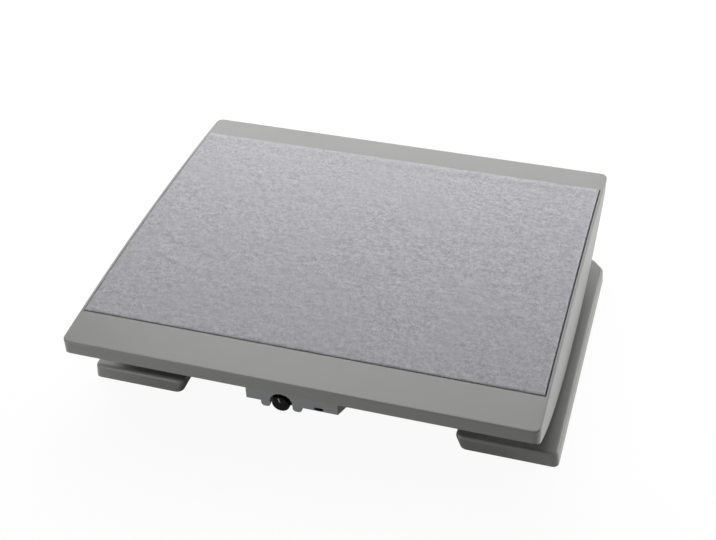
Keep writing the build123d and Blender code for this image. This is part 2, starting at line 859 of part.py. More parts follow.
# Control housing: a tub under the front band, with an arch and two guards around the knob.
with BuildPart() as control_housing:
    extrude(
        crown_over_flat(housing_front, housing_rear, housing_top, housing_bottom),
        amount=housing_width,
        both=True,
    )
    extrude(housing_plan(0, 0), amount=tilt_height, mode=Mode.INTERSECT)
    fillet(control_housing.faces().sort_by(Axis.Z)[0].edges(), housing_round)
    extrude(housing_plan(housing_wall, housing_floor_top), amount=tilt_height, mode=Mode.SUBTRACT)
    # Well below the floor for the rotary control, with the guards in front of it
    with BuildSketch(Plane.XY.offset(well_bottom)):
        with Locations((knob_offset, (recess_back + housing_rear) / 2)):
            Rectangle(2 * well_half_width, housing_rear - recess_back)
    extrude(amount=housing_floor_top - well_bottom)
    with BuildSketch(Plane.XY.offset(well_bottom + housing_floor)):
        with Locations((knob_offset, (recess_back + housing_rear) / 2)):
            Rectangle(
                2 * (well_half_width - housing_wall),
                housing_rear - recess_back - 2 * housing_wall,
            )
    extrude(amount=well_drop + housing_floor, mode=Mode.SUBTRACT)
    with BuildSketch(facing_front(housing_front)):
        with Locations((knob_offset, knob_height)):
            Circle(arch_radius + housing_wall)
        with Locations((knob_offset, housing_floor_top)):
            Rectangle(
                2 * (arch_radius + housing_wall),
                2 * arch_radius,
                align=(Align.CENTER, Align.MIN),
                mode=Mode.INTERSECT,
            )
    extrude(amount=-(recess_back + housing_wall - housing_front))
    with BuildSketch(facing_front(housing_front)):
        for side in (1, -1):
            with Locations((knob_offset + side * (arch_radius + guard_width / 2), housing_floor_top)):
                RectangleRounded(guard_width, 2 * (guard_drop + housing_floor), guard_round)
        with Locations((knob_offset, housing_floor_top)):
            Rectangle(
                4 * well_half_width,
                2 * knob_diameter,
                align=(Align.CENTER, Align.MIN),
                mode=Mode.SUBTRACT,
            )
    extrude(amount=-(recess_back - housing_front))
    with BuildSketch(facing_front(housing_front)):
        with Locations((knob_offset, knob_height)):
            Circle(arch_radius)
            Rectangle(2 * arch_radius, well_drop, align=(Align.CENTER, Align.MAX))
    extrude(amount=-(recess_back - housing_front), mode=Mode.SUBTRACT)
    with BuildSketch(facing_front(housing_front)):
        with Locations((knob_offset, knob_height)):
            Circle(control_bush_diameter / 2 + thread_clearance)
    extrude(amount=-(recess_back + housing_wall - housing_front), mode=Mode.SUBTRACT)
    # Slot of the switch, holes for the gland and the leads, and screw holes in the floor
    with BuildSketch(facing_front(housing_front)):
        with Locations((switch_offset, housing_floor_top)):
            Rectangle(
                2 * slot_half_width,
                button_height + 2 * button_clearance,
                align=(Align.CENTER, Align.MIN),
            )
    extrude(amount=-housing_wall, mode=Mode.SUBTRACT)
    with BuildSketch(facing_front(housing_rear)):
        with Locations((gland_offset, gland_height)):
            Circle(gland_thread / 2 + thread_clearance)
    extrude(amount=housing_wall, mode=Mode.SUBTRACT)
    with BuildSketch(lead_plane):
        with Locations(*lead_places):
            Circle(lead_diameter / 2 + lead_gap)
    extrude(amount=lead_run, mode=Mode.SUBTRACT)
    with BuildSketch(Plane.XY.offset(housing_bottom)):
        with Locations((boss_spacing / 2, boss_line), (-boss_spacing / 2, boss_line)):
            Circle(small_screw_diameter / 2 + thread_clearance)
    extrude(amount=housing_floor, mode=Mode.SUBTRACT)
write(control_housing, "control_housing")

small_screw = (small_screw_diameter, small_screw_head_diameter, small_screw_head_height)
with BuildPart() as housing_screws:
    for side in (1, -1):
        with Locations((side * boss_spacing / 2, boss_line, housing_bottom - seat_gap)):
            add(pan_screw(*small_screw, housing_screw_length))
write(housing_screws, "housing_screws")

# Rotary control behind the knob, with its nut
with BuildPart() as rotary_control:
    with BuildSketch(facing_front(control_front)):
        with Locations((knob_offset, knob_height)):
            Circle(control_diameter / 2)
    extrude(amount=-control_depth)
    with BuildSketch(facing_front(bush_front)):
        with Locations((knob_offset, knob_height)):
            Circle(control_bush_diameter / 2)
    extrude(amount=-(control_front - bush_front))
    with BuildSketch(facing_front(bush_front)):
        with Locations((knob_offset, knob_height)):
            Circle(shaft_diameter / 2 + running_clearance)
    extrude(amount=-(shaft_back + seat_gap - bush_front), mode=Mode.SUBTRACT)
write(rotary_control, "rotary_control")

with BuildPart() as control_nut:
    with BuildSketch(facing_front(recess_back - seat_gap)):
        with Locations((knob_offset, knob_height)):
            RegularPolygon(control_nut_width / 2, 6, major_radius=False)
            Circle(control_bush_diameter / 2 + thread_clearance, mode=Mode.SUBTRACT)
    extrude(amount=control_nut_thickness)
write(control_nut, "control_nut")

# Knob, a fluted grip on a wider skirt, with its shaft and its pointer mark
knob_place = Location((knob_offset, knob_height, 0), (0, 0, pointer_turn))
pointer_place = knob_place * Location((0, knob_diameter / 2 - knob_round, 0))
with BuildPart() as control_knob:
    with BuildSketch(facing_front(knob_back)):
        with Locations((knob_offset, knob_height)):
            Circle(knob_skirt_diameter / 2)
    extrude(amount=knob_skirt_depth)
    fillet(control_knob.faces().sort_by(Axis.Y)[0].edges(), knob_skirt_round)
    with BuildSketch(facing_front(knob_back)):
        with Locations((knob_offset, knob_height)):
            Circle(knob_diameter / 2)
    extrude(amount=knob_depth)
    fillet(control_knob.faces().sort_by(Axis.Y)[0].edges(), knob_round)
    with BuildSketch(facing_front(knob_front)):
        with Locations((knob_offset, knob_height)):
            with PolarLocations(knob_diameter / 2 + flute_radius - flute_depth, flute_count):
                Circle(flute_radius)
    extrude(amount=-(knob_depth - knob_skirt_depth - flute_end), mode=Mode.SUBTRACT)
    with BuildSketch(facing_front(knob_back)):
        with Locations((knob_offset, knob_height)):
            Circle(knob_socket_diameter / 2)
    extrude(amount=knob_socket_depth, mode=Mode.SUBTRACT)
    with BuildSketch(facing_front(knob_back)):
        with Locations((knob_offset, knob_height)):
            Circle(shaft_diameter / 2 + thread_clearance)
    extrude(amount=knob_back - shaft_front + seat_gap, mode=Mode.SUBTRACT)
    with BuildSketch(facing_front(knob_front)):
        with Locations(pointer_place):
            Rectangle(pointer_width, pointer_length, align=(Align.CENTER, Align.MAX))
    extrude(amount=-pointer_depth, mode=Mode.SUBTRACT)
write(control_knob, "control_knob")

with BuildPart() as knob_pointer:
    with BuildSketch(facing_front(knob_front)):
        with Locations(pointer_place):
            Rectangle(pointer_width, pointer_length, align=(Align.CENTER, Align.MAX))
    extrude(amount=-pointer_depth)
write(knob_pointer, "knob_pointer")

with BuildPart() as control_shaft:
    with BuildSketch(facing_front(shaft_front)):
        with Locations((knob_offset, knob_height)):
            Circle(shaft_diameter / 2)
    extrude(amount=-(shaft_back - shaft_front))
write(control_shaft, "control_shaft")

# Slide switch with its button in the slot of the housing
with BuildPart() as slide_switch:
    with Locations((switch_offset, switch_front, housing_floor_top + seat_gap)):
        Box(switch_width, switch_depth, switch_height, align=(Align.CENTER, Align.MIN, Align.MIN))
    with Locations((switch_offset, switch_front, housing_floor_top)):
        Box(
            2 * slot_half_width,
            button_tail + button_clearance,
            button_height + 2 * button_clearance,
            align=(Align.CENTER, Align.MIN, Align.MIN),
            mode=Mode.SUBTRACT,
        )
write(slide_switch, "slide_switch")

with BuildPart() as switch_button:
    with BuildSketch(facing_front(housing_front - button_proud)):
        with Locations((switch_offset, (button_bottom + button_top) / 2)):
            Rectangle(button_width, button_height)
    extrude(amount=-(button_back - housing_front + button_proud))
    fillet(switch_button.faces().sort_by(Axis.Y)[0].edges(), button_round)
write(switch_button, "switch_button")

# Control board under the front band, with the terminal block on top of it
with BuildPart() as control_board:
    with Locations((0, boss_line, board_height)):
        Box(
            board_width,
            board_depth,
            board_thickness,
            align=(Align.CENTER, Align.CENTER, Align.MAX),
        )
    with BuildSketch(Plane.XY.offset(board_height)):
        with Locations((board_boss_spacing / 2, boss_line), (-board_boss_spacing / 2, boss_line)):
            Circle(small_screw_diameter / 2 + thread_clearance)
    extrude(amount=-board_thickness, mode=Mode.SUBTRACT)
write(control_board, "control_board")

with BuildPart() as terminal_block:
    with Locations((cutoff_offset_x, boss_line, board_height + seat_gap)):
        Box(
            terminal_width,
            terminal_depth,
            terminal_height,
            align=(Align.CENTER, Align.CENTER, Align.MIN),
        )
write(terminal_block, "terminal_block")

with BuildPart() as board_screws:
    for side in (1, -1):
        screw_seat = board_height - board_thickness - seat_gap
        with Locations((side * board_boss_spacing / 2, boss_line, screw_seat)):
            add(pan_screw(*small_screw, board_screw_length))
write(board_screws, "board_screws")

# Cord gland in the rear wall of the housing, with its nut inside
gland_seat = housing_rear + seat_gap
gland_nut_front = housing_rear - housing_wall - seat_gap - gland_nut_thickness
with BuildPart() as cord_gland:
    with BuildSketch(facing_front(gland_nut_front - gland_end)):
        with Locations((gland_offset, gland_height)):
            Circle(gland_thread / 2)
    extrude(amount=-(gland_seat - gland_nut_front + gland_end))
    with BuildSketch(facing_front(gland_seat)):
        with Locations((gland_offset, gland_height)):
            Circle(gland_flange / 2)
    extrude(amount=-gland_flange_thickness)
    with BuildSketch(facing_front(gland_seat + gland_flange_thickness)):
        with Locations((gland_offset, gland_height)):
            Circle(gland_tail_diameter / 2)
    extrude(amount=-gland_tail)
    with BuildSketch(facing_front(gland_nut_front - gland_end)):
        with Locations((gland_offset, gland_height)):
            Circle(gland_bore / 2)
    extrude(amount=-housing_depth, mode=Mode.SUBTRACT)
write(cord_gland, "cord_gland")

with BuildPart() as gland_nut:
    with BuildSketch(facing_front(gland_nut_front)):
        with Locations((gland_offset, gland_height)):
            RegularPolygon(gland_nut_width / 2, 6, major_radius=False)
            Circle(gland_thread / 2 + thread_clearance, mode=Mode.SUBTRACT)
    extrude(amount=-gland_nut_thickness)
write(gland_nut, "gland_nut")
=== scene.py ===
"""Looks of the heated rocking footrest: finishes, carpet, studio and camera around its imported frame."""

import json
import math

import bpy
import numpy as np
from mathutils import Matrix, Vector


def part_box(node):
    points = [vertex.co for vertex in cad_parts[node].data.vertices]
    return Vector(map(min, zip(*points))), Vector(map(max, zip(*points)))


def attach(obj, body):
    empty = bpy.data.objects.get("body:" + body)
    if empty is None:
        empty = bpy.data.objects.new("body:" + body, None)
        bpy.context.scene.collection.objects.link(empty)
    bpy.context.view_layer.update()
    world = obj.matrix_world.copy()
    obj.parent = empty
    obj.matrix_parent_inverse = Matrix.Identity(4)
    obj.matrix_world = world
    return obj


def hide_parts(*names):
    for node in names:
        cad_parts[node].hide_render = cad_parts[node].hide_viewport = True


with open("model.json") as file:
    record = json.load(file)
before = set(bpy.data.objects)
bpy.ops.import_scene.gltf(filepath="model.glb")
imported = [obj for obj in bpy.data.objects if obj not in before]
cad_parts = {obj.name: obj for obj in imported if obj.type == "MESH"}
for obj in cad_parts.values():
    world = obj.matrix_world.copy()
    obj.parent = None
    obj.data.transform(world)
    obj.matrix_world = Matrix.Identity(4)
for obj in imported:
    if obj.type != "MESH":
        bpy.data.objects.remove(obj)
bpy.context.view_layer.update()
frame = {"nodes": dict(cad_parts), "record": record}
nodes = frame["nodes"]

MM = 0.001
WHITE = (1, 1, 1, 1)

# Camera, fitted to the straight edges of the platform and the feet
CAMERA_PLACE = (0.3134, -0.9670, 0.8968)
CAMERA_YAW = math.radians(-17.785)
CAMERA_PITCH = math.radians(38.69)
CAMERA_ROLL = math.radians(-1.74)
CAMERA_LENS = 64.47
CAMERA_CLIP = (0.01, 50)
SENSOR_WIDTH = 36.0

# Crown of the platform, as in the frame
PLATFORM_DEPTH = 0.400
CROWN_RISE = 0.007
CROWN_RADIUS = ((PLATFORM_DEPTH / 2) ** 2 + CROWN_RISE**2) / (2 * CROWN_RISE)

# Carpet sheet: its grid, its rounded edges, and how far it stands over the plain mat
CARPET_GRID = 1.5 * MM
CARPET_ROUND = 1.6 * MM
CARPET_ROUND_STEPS = 4
CARPET_PROUD = 0.5 * MM
CARPET_SEED = 7

# Pile: reach in grid steps and height of each unevenness, its limit in spreads, and the ragged sides
PILE_COARSE = (3, 0.16 * MM)
PILE_FINE = (1, 0.10 * MM)
PILE_LIMIT = 2
PILE_RAGGED = 0.25 * MM

# Low roll along the rear edge of the carpet
ROLL_HEIGHT = 0.7 * MM
ROLL_FALL = 7 * MM
ROLL_RISE = 12 * MM

# Where most values of a noise lie
NOISE_SPAN = (0.3, 0.7)

# Moulded plastic: grain, flow marks and specks
PLASTIC_GRAIN = 0.7 * MM
PLASTIC_GRAIN_SPAN = (0.25, 0.75)
PLASTIC_DEPTH = 0.04 * MM
PLASTIC_BUMP = 0.35
PLASTIC_GLOSS = 0.5
PLASTIC_SPREAD = 0.06
FLOW_SIZE = 60 * MM
FLOW_SHADES = (0.975, 1.025)
SPECK_SIZE = 2.2 * MM
SPECK_SPAN = (0.62, 0.78)
SPECK_SHARES = (0, 0.10)
SPECK_SHADE = 0.72

# Edges painted lighter, as a painted highlight and as wear from handling: the cosines are those of a flat
# face and of a sharp edge
EDGE_RADIUS = 0.5 * MM
EDGE_SAMPLES = 6
EDGE_COSINES = (0.995, 0.80)
HIGHLIGHT_AND_WEAR_SPAN = (0.35, 0.65)
HIGHLIGHT_AND_WEAR_SHARES = (0.3, 1)
HIGHLIGHT_AND_WEAR_SHADE = 1.08

# Carpet pile: lift of the record's colour, fibre tips, dark and light tufts, and trodden patches
FIBRE_LIFT = 1.12
TIP_SIZE = 1.8 * MM
TIP_SPAN = (0.32, 0.68)
TIP_SHADES = (0.78, 1.18)
TUFT_SIZE = 4 * MM
DARK_TUFT_SPAN = (0.52, 0.68)
DARK_TUFT_SHARES = (0, 0.6)
DARK_TUFT_SHADE = 0.66
LIGHT_TUFT_SPAN = (0.32, 0.47)
LIGHT_TUFT_SHARES = (0.55, 0)
LIGHT_TUFT_SHADE = 1.28
TREAD_SIZE = 70 * MM
TREAD_SPAN = (0.35, 0.65)
TREAD_SHARES = (0, 0.5)
TREAD_SHADE = 0.97
PILE_ROUGHNESS = (0.86, 1)
PILE_GLOSS = 0.15
PILE_SHEEN = 0.12
PILE_SHEEN_ROUGHNESS = 0.5
PILE_BUMP = 0.45
PILE_DEPTH = 0.5 * MM

# Plated and rolled metal
METAL_STREAK = 3 * MM
METAL_SHADES = (0.9, 1.06)
METAL_SPREAD = (-0.08, 0.10)
METAL_BUMP = 0.15
METAL_DEPTH = 0.05 * MM
ROLLED_ALONG_X = (0.05, 1, 1)

# Rubber, sheath, felt and powder coat
SOFT_ROUGHNESS = 0.85
SOFT_SPREAD = 0.08
SOFT_BUMP = 0.4

# Circuit board: copper tracks and the weave under its mask
TRACK_WIDTH = 0.45 * MM
TRACK_PITCH = 2.4 * MM
TRACK_LENGTH = 9 * MM
TRACK_STAGGER = 0.37
TRACK_SHADE = 1.6
TRACK_BUMP = 0.3
TRACK_DEPTH = 0.05 * MM
WEAVE_SIZE = 0.9 * MM
WEAVE_SPAN = (0.4, 0.7)
WEAVE_SHARES = (0, 0.2)
WEAVE_SHADE = 0.6
BOARD_ROUGHNESS = (0.28, 0.4)

# Floor: its glow near the object and the distances over which it turns white
FLOOR_HALF = 6.0
FLOOR_GLOW = 0.94
FLOOR_FADE = (0.45, 1.1)
FLOOR_CATCH = (0.11, 0.11, 0.11, 1)
FLOOR_BOUNCE = (0.45, 0.45, 0.45, 1)

# Painted shadow on the floor under the platform, seen only where a gloss mirrors it: its brightness, half
# size and soft rim
SHADOW_GLOW = 0.10
SHADOW_HALF = (0.235, 0.200, 1.0)
SHADOW_FADE = (0.62, 1.0)

# Light: the even part, and softboxes by name, place, width and height, and power
AMBIENT = 0.02
LAMP_AIM = (0, 0, 0.08)
LAMPS = [
    ("overhead", (0, 0.2, 1.9), (1.6, 1.6), 4.85),
    ("top_rear", (-0.15, 0.45, 0.95), (0.9, 0.6), 3.9),
    ("behind", (-0.1, 0.75, 0.55), (1.0, 0.5), 2.3),
    ("behind_left", (-0.9, 0.8, 0.8), (0.8, 0.8), 2.4),
    ("right_side", (1.1, 0.5, 0.24), (1.2, 0.2), 6.5),
    ("front", (-0.9, -1.2, 0.16), (1.2, 0.3), 5.3),
]

# Sockets of a colour mix: its factor, its two colours, and the result
MIX_INPUTS = (0, 6, 7)
MIX_OUTPUT = 2


# Node helpers


def new_material(name):
    """A material with an empty tree but for its Principled shader; returns it, its tree and the shader."""
    material = bpy.data.materials.new(name)
    material.use_nodes = True
    tree = material.node_tree
    return material, tree, tree.nodes["Principled BSDF"]


def add_node(tree, kind, **values):
    """Adds a node and sets its inputs or properties by name."""
    node = tree.nodes.new(kind)
    for key, value in values.items():
        if key in node.inputs:
            node.inputs[key].default_value = value
        else:
            setattr(node, key, value)
    return node


def feed(tree, value, socket):
    """Links an output to an input socket, or sets a plain value on it."""
    if isinstance(value, bpy.types.NodeSocket):
        tree.links.new(value, socket)
    else:
        socket.default_value = value


def calculate(tree, operation, first, second):
    """The result of an operation on two numbers."""
    node = add_node(tree, "ShaderNodeMath", operation=operation)
    feed(tree, first, node.inputs[0])
    feed(tree, second, node.inputs[1])
    return node.outputs["Value"]


def vector_math(tree, operation, *vectors):
    """The node of an operation on vectors."""
    node = add_node(tree, "ShaderNodeVectorMath", operation=operation)
    for vector, socket in zip(vectors, node.inputs):
        feed(tree, vector, socket)
    return node


def object_place(tree, stretch=(1, 1, 1)):
    """The place on the object in metres, stretched along its axes."""
    place = add_node(tree, "ShaderNodeTexCoord")
    mapping = add_node(tree, "ShaderNodeMapping", Scale=stretch)
    tree.links.new(place.outputs["Object"], mapping.inputs["Vector"])
    return mapping.outputs["Vector"]


def noise(tree, place, size, detail=3.0, roughness=0.55):
    """Noise with features of about this size in metres, from 0 to 1."""
    node = add_node(tree, "ShaderNodeTexNoise", Scale=1 / size, Detail=detail, Roughness=roughness)
    tree.links.new(place, node.inputs["Vector"])
    return node.outputs["Fac"]


def remap(tree, value, span, target):
    """Maps a value from one span to another, clamped."""
    node = add_node(tree, "ShaderNodeMapRange", clamp=True)
    for key, number in zip(("From Min", "From Max", "To Min", "To Max"), (*span, *target)):
        node.inputs[key].default_value = number
    tree.links.new(value, node.inputs["Value"])
    return node.outputs["Result"]


def shade(colour, factor):
    """A colour made lighter or darker."""
    return tuple(channel * factor for channel in colour)


def mix_colour(tree, factor, first, second):
    """Mixes two colours, each an output or a plain colour, by an output."""
    node = add_node(tree, "ShaderNodeMix", data_type="RGBA")
    for index, value in zip(MIX_INPUTS, (factor, first, second)):
        opaque = (*value, 1.0) if isinstance(value, tuple) else value
        feed(tree, opaque, node.inputs[index])
    return node.outputs[MIX_OUTPUT]


def two_tone(tree, field, span, colour, shades):
    """A colour that runs between two shades of itself over this span of a field."""
    first, second = shades
    return mix_colour(tree, remap(tree, field, span, (0, 1)), shade(colour, first), shade(colour, second))


def tinted(tree, base, field, span, shares, colour):
    """A base with a colour mixed in, by shares that follow this span of a field."""
    return mix_colour(tree, remap(tree, field, span, shares), base, colour)


def paint(tree, shader, base, field, span, roughness):
    """Gives the shader a base colour, and a roughness that follows this span of a field."""
    tree.links.new(base, shader.inputs["Base Color"])
    tree.links.new(remap(tree, field, span, roughness), shader.inputs["Roughness"])


def bump(tree, shader, height, strength, distance, normal=None):
    """Puts a bump from this height on the shader's normal."""
    node = add_node(tree, "ShaderNodeBump", Strength=strength, Distance=distance)
    tree.links.new(height, node.inputs["Height"])
    if normal is not None:
        tree.links.new(normal, node.inputs["Normal"])
    tree.links.new(node.outputs["Normal"], shader.inputs["Normal"])


def edge_share(tree):
    """How far a point lies on an edge, from 0 on a flat face to 1 on a sharp one; and the rounded normal."""
    rounded = add_node(tree, "ShaderNodeBevel", samples=EDGE_SAMPLES, Radius=EDGE_RADIUS)
    plain = add_node(tree, "ShaderNodeNewGeometry")
    cosine = vector_math(tree, "DOT_PRODUCT", rounded.outputs["Normal"], plain.outputs["Normal"])
    return remap(tree, cosine.outputs["Value"], EDGE_COSINES, (0, 1)), rounded.outputs["Normal"]


def mix_shaders(tree, factor, first, second):
    """The first shader where the factor is 0, and the second where it is 1."""
    node = add_node(tree, "ShaderNodeMixShader")
    for output, socket in zip((factor, first, second), node.inputs):
        tree.links.new(output, socket)
    return node.outputs[0]


# Materials


def moulded_plastic(name, colour, roughness, depth=PLASTIC_DEPTH, gloss=PLASTIC_GLOSS):
    """Fine spark-eroded plastic: a tight grain, faint flow mottling, and sharp edges painted lighter as a
    painted highlight and as wear.
    """
    material, tree, shader = new_material(name)
    place = object_place(tree)
    grain = noise(tree, place, PLASTIC_GRAIN, detail=2.0)
    flow = noise(tree, place, FLOW_SIZE, detail=2.0)
    speck = noise(tree, place, SPECK_SIZE, detail=4.0, roughness=0.7)
    base = two_tone(tree, flow, NOISE_SPAN, colour, FLOW_SHADES)
    base = tinted(tree, base, speck, SPECK_SPAN, SPECK_SHARES, shade(colour, SPECK_SHADE))
    edge, rounded = edge_share(tree)
    # Sharp edges painted lighter: a painted highlight together with wear from handling, uneven with the flow
    # marks
    highlight_and_wear = calculate(tree, "MULTIPLY", edge, remap(tree, flow, HIGHLIGHT_AND_WEAR_SPAN, HIGHLIGHT_AND_WEAR_SHARES))
    base = mix_colour(tree, highlight_and_wear, base, shade(colour, HIGHLIGHT_AND_WEAR_SHADE))
    uneven = (roughness - PLASTIC_SPREAD, roughness + PLASTIC_SPREAD)
    paint(tree, shader, base, grain, PLASTIC_GRAIN_SPAN, uneven)
    shader.inputs["Specular IOR Level"].default_value = gloss
    bump(tree, shader, grain, PLASTIC_BUMP, depth, rounded)
    return material


def carpet_pile(name, colour):
    """Short cut pile: soft mottling with light and dark fibre tips, trodden patches and a slight sheen."""
    material, tree, shader = new_material(name)
    fibre = shade(colour, FIBRE_LIFT)
    place = object_place(tree)
    tips = noise(tree, place, TIP_SIZE, detail=2.0, roughness=0.6)
    tufts = noise(tree, place, TUFT_SIZE, detail=3.0, roughness=0.6)
    tread = noise(tree, place, TREAD_SIZE, detail=2.0)
    base = two_tone(tree, tips, TIP_SPAN, fibre, TIP_SHADES)
    base = tinted(tree, base, tufts, DARK_TUFT_SPAN, DARK_TUFT_SHARES, shade(fibre, DARK_TUFT_SHADE))
    base = tinted(tree, base, tufts, LIGHT_TUFT_SPAN, LIGHT_TUFT_SHARES, shade(fibre, LIGHT_TUFT_SHADE))
    base = tinted(tree, base, tread, TREAD_SPAN, TREAD_SHARES, shade(fibre, TREAD_SHADE))
    paint(tree, shader, base, tips, NOISE_SPAN, PILE_ROUGHNESS)
    shader.inputs["Specular IOR Level"].default_value = PILE_GLOSS
    shader.inputs["Sheen Weight"].default_value = PILE_SHEEN
    shader.inputs["Sheen Roughness"].default_value = PILE_SHEEN_ROUGHNESS
    bump(tree, shader, tips, PILE_BUMP, PILE_DEPTH)
    return material


def plated_metal(name, colour, roughness, stretch=(1, 1, 1)):
    """Metal with a fine uneven finish, drawn out along an axis where it is rolled."""
    material, tree, shader = new_material(name)
    place = object_place(tree, stretch)
    streaks = noise(tree, place, METAL_STREAK, detail=5.0, roughness=0.6)
    base = two_tone(tree, streaks, NOISE_SPAN, colour, METAL_SHADES)
    uneven = tuple(roughness + change for change in METAL_SPREAD)
    paint(tree, shader, base, streaks, NOISE_SPAN, uneven)
    shader.inputs["Metallic"].default_value = 1.0
    bump(tree, shader, streaks, METAL_BUMP, METAL_DEPTH)
    return material


def soft_matte(name, colour, size, contrast, depth, roughness=SOFT_ROUGHNESS):
    """Rubber, sheath, felt or powder coat: a matte body with an uneven surface of this feature size."""
    material, tree, shader = new_material(name)
    place = object_place(tree)
    grain = noise(tree, place, size, detail=5.0, roughness=0.65)
    base = two_tone(tree, grain, NOISE_SPAN, colour, (1 - contrast, 1 + contrast))
    uneven = (roughness - SOFT_SPREAD, roughness + SOFT_SPREAD)
    paint(tree, shader, base, grain, NOISE_SPAN, uneven)
    bump(tree, shader, grain, SOFT_BUMP, depth)
    return material


def board_laminate(name, colour):
    """Solder mask over copper tracks, which show as a lighter, raised pattern."""
    material, tree, shader = new_material(name)
    place = object_place(tree)
    tracks = add_node(tree, "ShaderNodeTexBrick", Scale=1.0, offset=TRACK_STAGGER)
    tracks.inputs["Brick Width"].default_value = TRACK_LENGTH
    tracks.inputs["Row Height"].default_value = TRACK_PITCH
    tracks.inputs["Mortar Size"].default_value = TRACK_WIDTH
    tree.links.new(place, tracks.inputs["Vector"])
    weave = noise(tree, place, WEAVE_SIZE)
    base = mix_colour(tree, tracks.outputs["Fac"], colour, shade(colour, TRACK_SHADE))
    base = tinted(tree, base, weave, WEAVE_SPAN, WEAVE_SHARES, shade(colour, WEAVE_SHADE))
    paint(tree, shader, base, weave, NOISE_SPAN, BOARD_ROUGHNESS)
    bump(tree, shader, tracks.outputs["Fac"], TRACK_BUMP, TRACK_DEPTH)
    return material


# Finish of each material slot of the record
FINISHES = {
    "grey_plastic": (moulded_plastic, {"roughness": 0.33}),
    "housing_plastic": (moulded_plastic, {"roughness": 0.33}),
    "dark_plastic": (moulded_plastic, {"roughness": 0.55}),
    "black_plastic": (moulded_plastic, {"roughness": 0.45, "depth": 0.02 * MM, "gloss": 0.04}),
    "pointer_grey": (moulded_plastic, {"roughness": 0.50, "depth": 0.02 * MM}),
    "glide_plastic": (moulded_plastic, {"roughness": 0.30, "depth": 0.01 * MM}),
    "bar_metal": (soft_matte, {"size": 0.8 * MM, "contrast": 0.08, "depth": 0.06 * MM, "roughness": 0.55}),
    "zinc_steel": (plated_metal, {"roughness": 0.36}),
    "black_rubber": (soft_matte, {"size": 1.2 * MM, "contrast": 0.15, "depth": 0.1 * MM}),
    "lead_sheath": (soft_matte, {"size": 2 * MM, "contrast": 0.08, "depth": 0.03 * MM, "roughness": 0.5}),
    "carpet": (carpet_pile, {}),
    "aluminium_sheet": (plated_metal, {"roughness": 0.34, "stretch": ROLLED_ALONG_X}),
    "element_foil": (plated_metal, {"roughness": 0.32, "stretch": ROLLED_ALONG_X}),
    "insulation_felt": (soft_matte, {"size": 1.5 * MM, "contrast": 0.12, "depth": 0.4 * MM}),
    "board_laminate": (board_laminate, {}),
}


def make_materials():
    """One material for each material slot of the record, in the record's colour."""
    made = {}
    for row in frame["record"]["materials"]:
        slot = row["slot"]
        finish, values = FINISHES[slot]
        made[slot] = finish(slot, tuple(row["base_color"]), **values)
    return made


def dress_nodes(materials):
    """Puts each node's slot material on it."""
    for row in frame["record"]["subparts"]:
        mesh = nodes[row["node"]].data
        mesh.materials.clear()
        mesh.materials.append(materials[row["material_slot"]])


# Meshes


def new_piece(name, points, faces, body, material):
    """A smooth mesh piece that rides on a body and takes its finish from a slot."""
    mesh = bpy.data.meshes.new(name)
    mesh.from_pydata([tuple(p) for p in points], [], faces)
    mesh.validate()
    mesh.materials.append(material)
    mesh.shade_smooth()
    piece = bpy.data.objects.new(name, mesh)
    bpy.context.scene.collection.objects.link(piece)
    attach(piece, body)
    return piece


def crown_height(y):
    """Height of the crowned top at y, from the highest point of the mat."""
    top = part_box("carpet_mat")[1].z
    return top - CROWN_RADIUS + np.sqrt(CROWN_RADIUS**2 - np.square(y))


def edge_lines(low, high):
    """Grid lines from low to high: close together at both ends, even between them."""
    near = CARPET_ROUND * (1 - np.cos(np.linspace(0, math.pi / 2, CARPET_ROUND_STEPS + 1)))
    count = round((high - low - 2 * CARPET_ROUND) / CARPET_GRID)
    inner = np.linspace(low + CARPET_ROUND, high - CARPET_ROUND, count + 1)
    return np.concatenate([low + near[:-1], inner, (high - near[:-1])[::-1]])


def blurred(field, reach):
    """A field averaged over a square window of this reach, scaled back to unit spread."""
    for axis in (0, 1):
        field = sum(np.roll(field, shift, axis) for shift in range(-reach, reach + 1))
    return field / field.std()


def edge_distance(xs, ys):
    """Distance of each grid point from the nearest rounded edge: the left, right or front one."""
    along_x = np.minimum(xs - xs[0], xs[-1] - xs)
    along_y = ys - ys[0]
    return np.minimum(along_x[:, None], along_y[None, :])


def rear_roll(ys):
    """Height of the low roll along the rear edge, which falls off to the band and hides the gap there."""
    reach = ys[-1] - ys
    fall = np.clip(reach / ROLL_FALL, 0, 1)
    rise = np.clip((reach - ROLL_FALL) / ROLL_RISE, 0, 1)
    return ROLL_HEIGHT * (np.cos(math.pi * rise) - np.cos(math.pi * fall)) / 2


def sheet_faces(shape):
    """Faces of a closed sheet whose top and back grids have this shape."""
    count_x, count_y = shape
    index = np.arange(count_x * count_y).reshape(shape)
    corners = [index[:-1, :-1], index[1:, :-1], index[1:, 1:], index[:-1, 1:]]
    top = np.stack(corners, -1).reshape(-1, 4)
    back = top[:, ::-1] + index.size
    rim = np.concatenate([index[:-1, 0], index[-1, :-1], index[:0:-1, -1], index[0, :0:-1]])
    following = np.roll(rim, -1)
    wall = np.stack([following, rim, rim + index.size, following + index.size], -1)
    return np.concatenate([top, back, wall]).tolist()


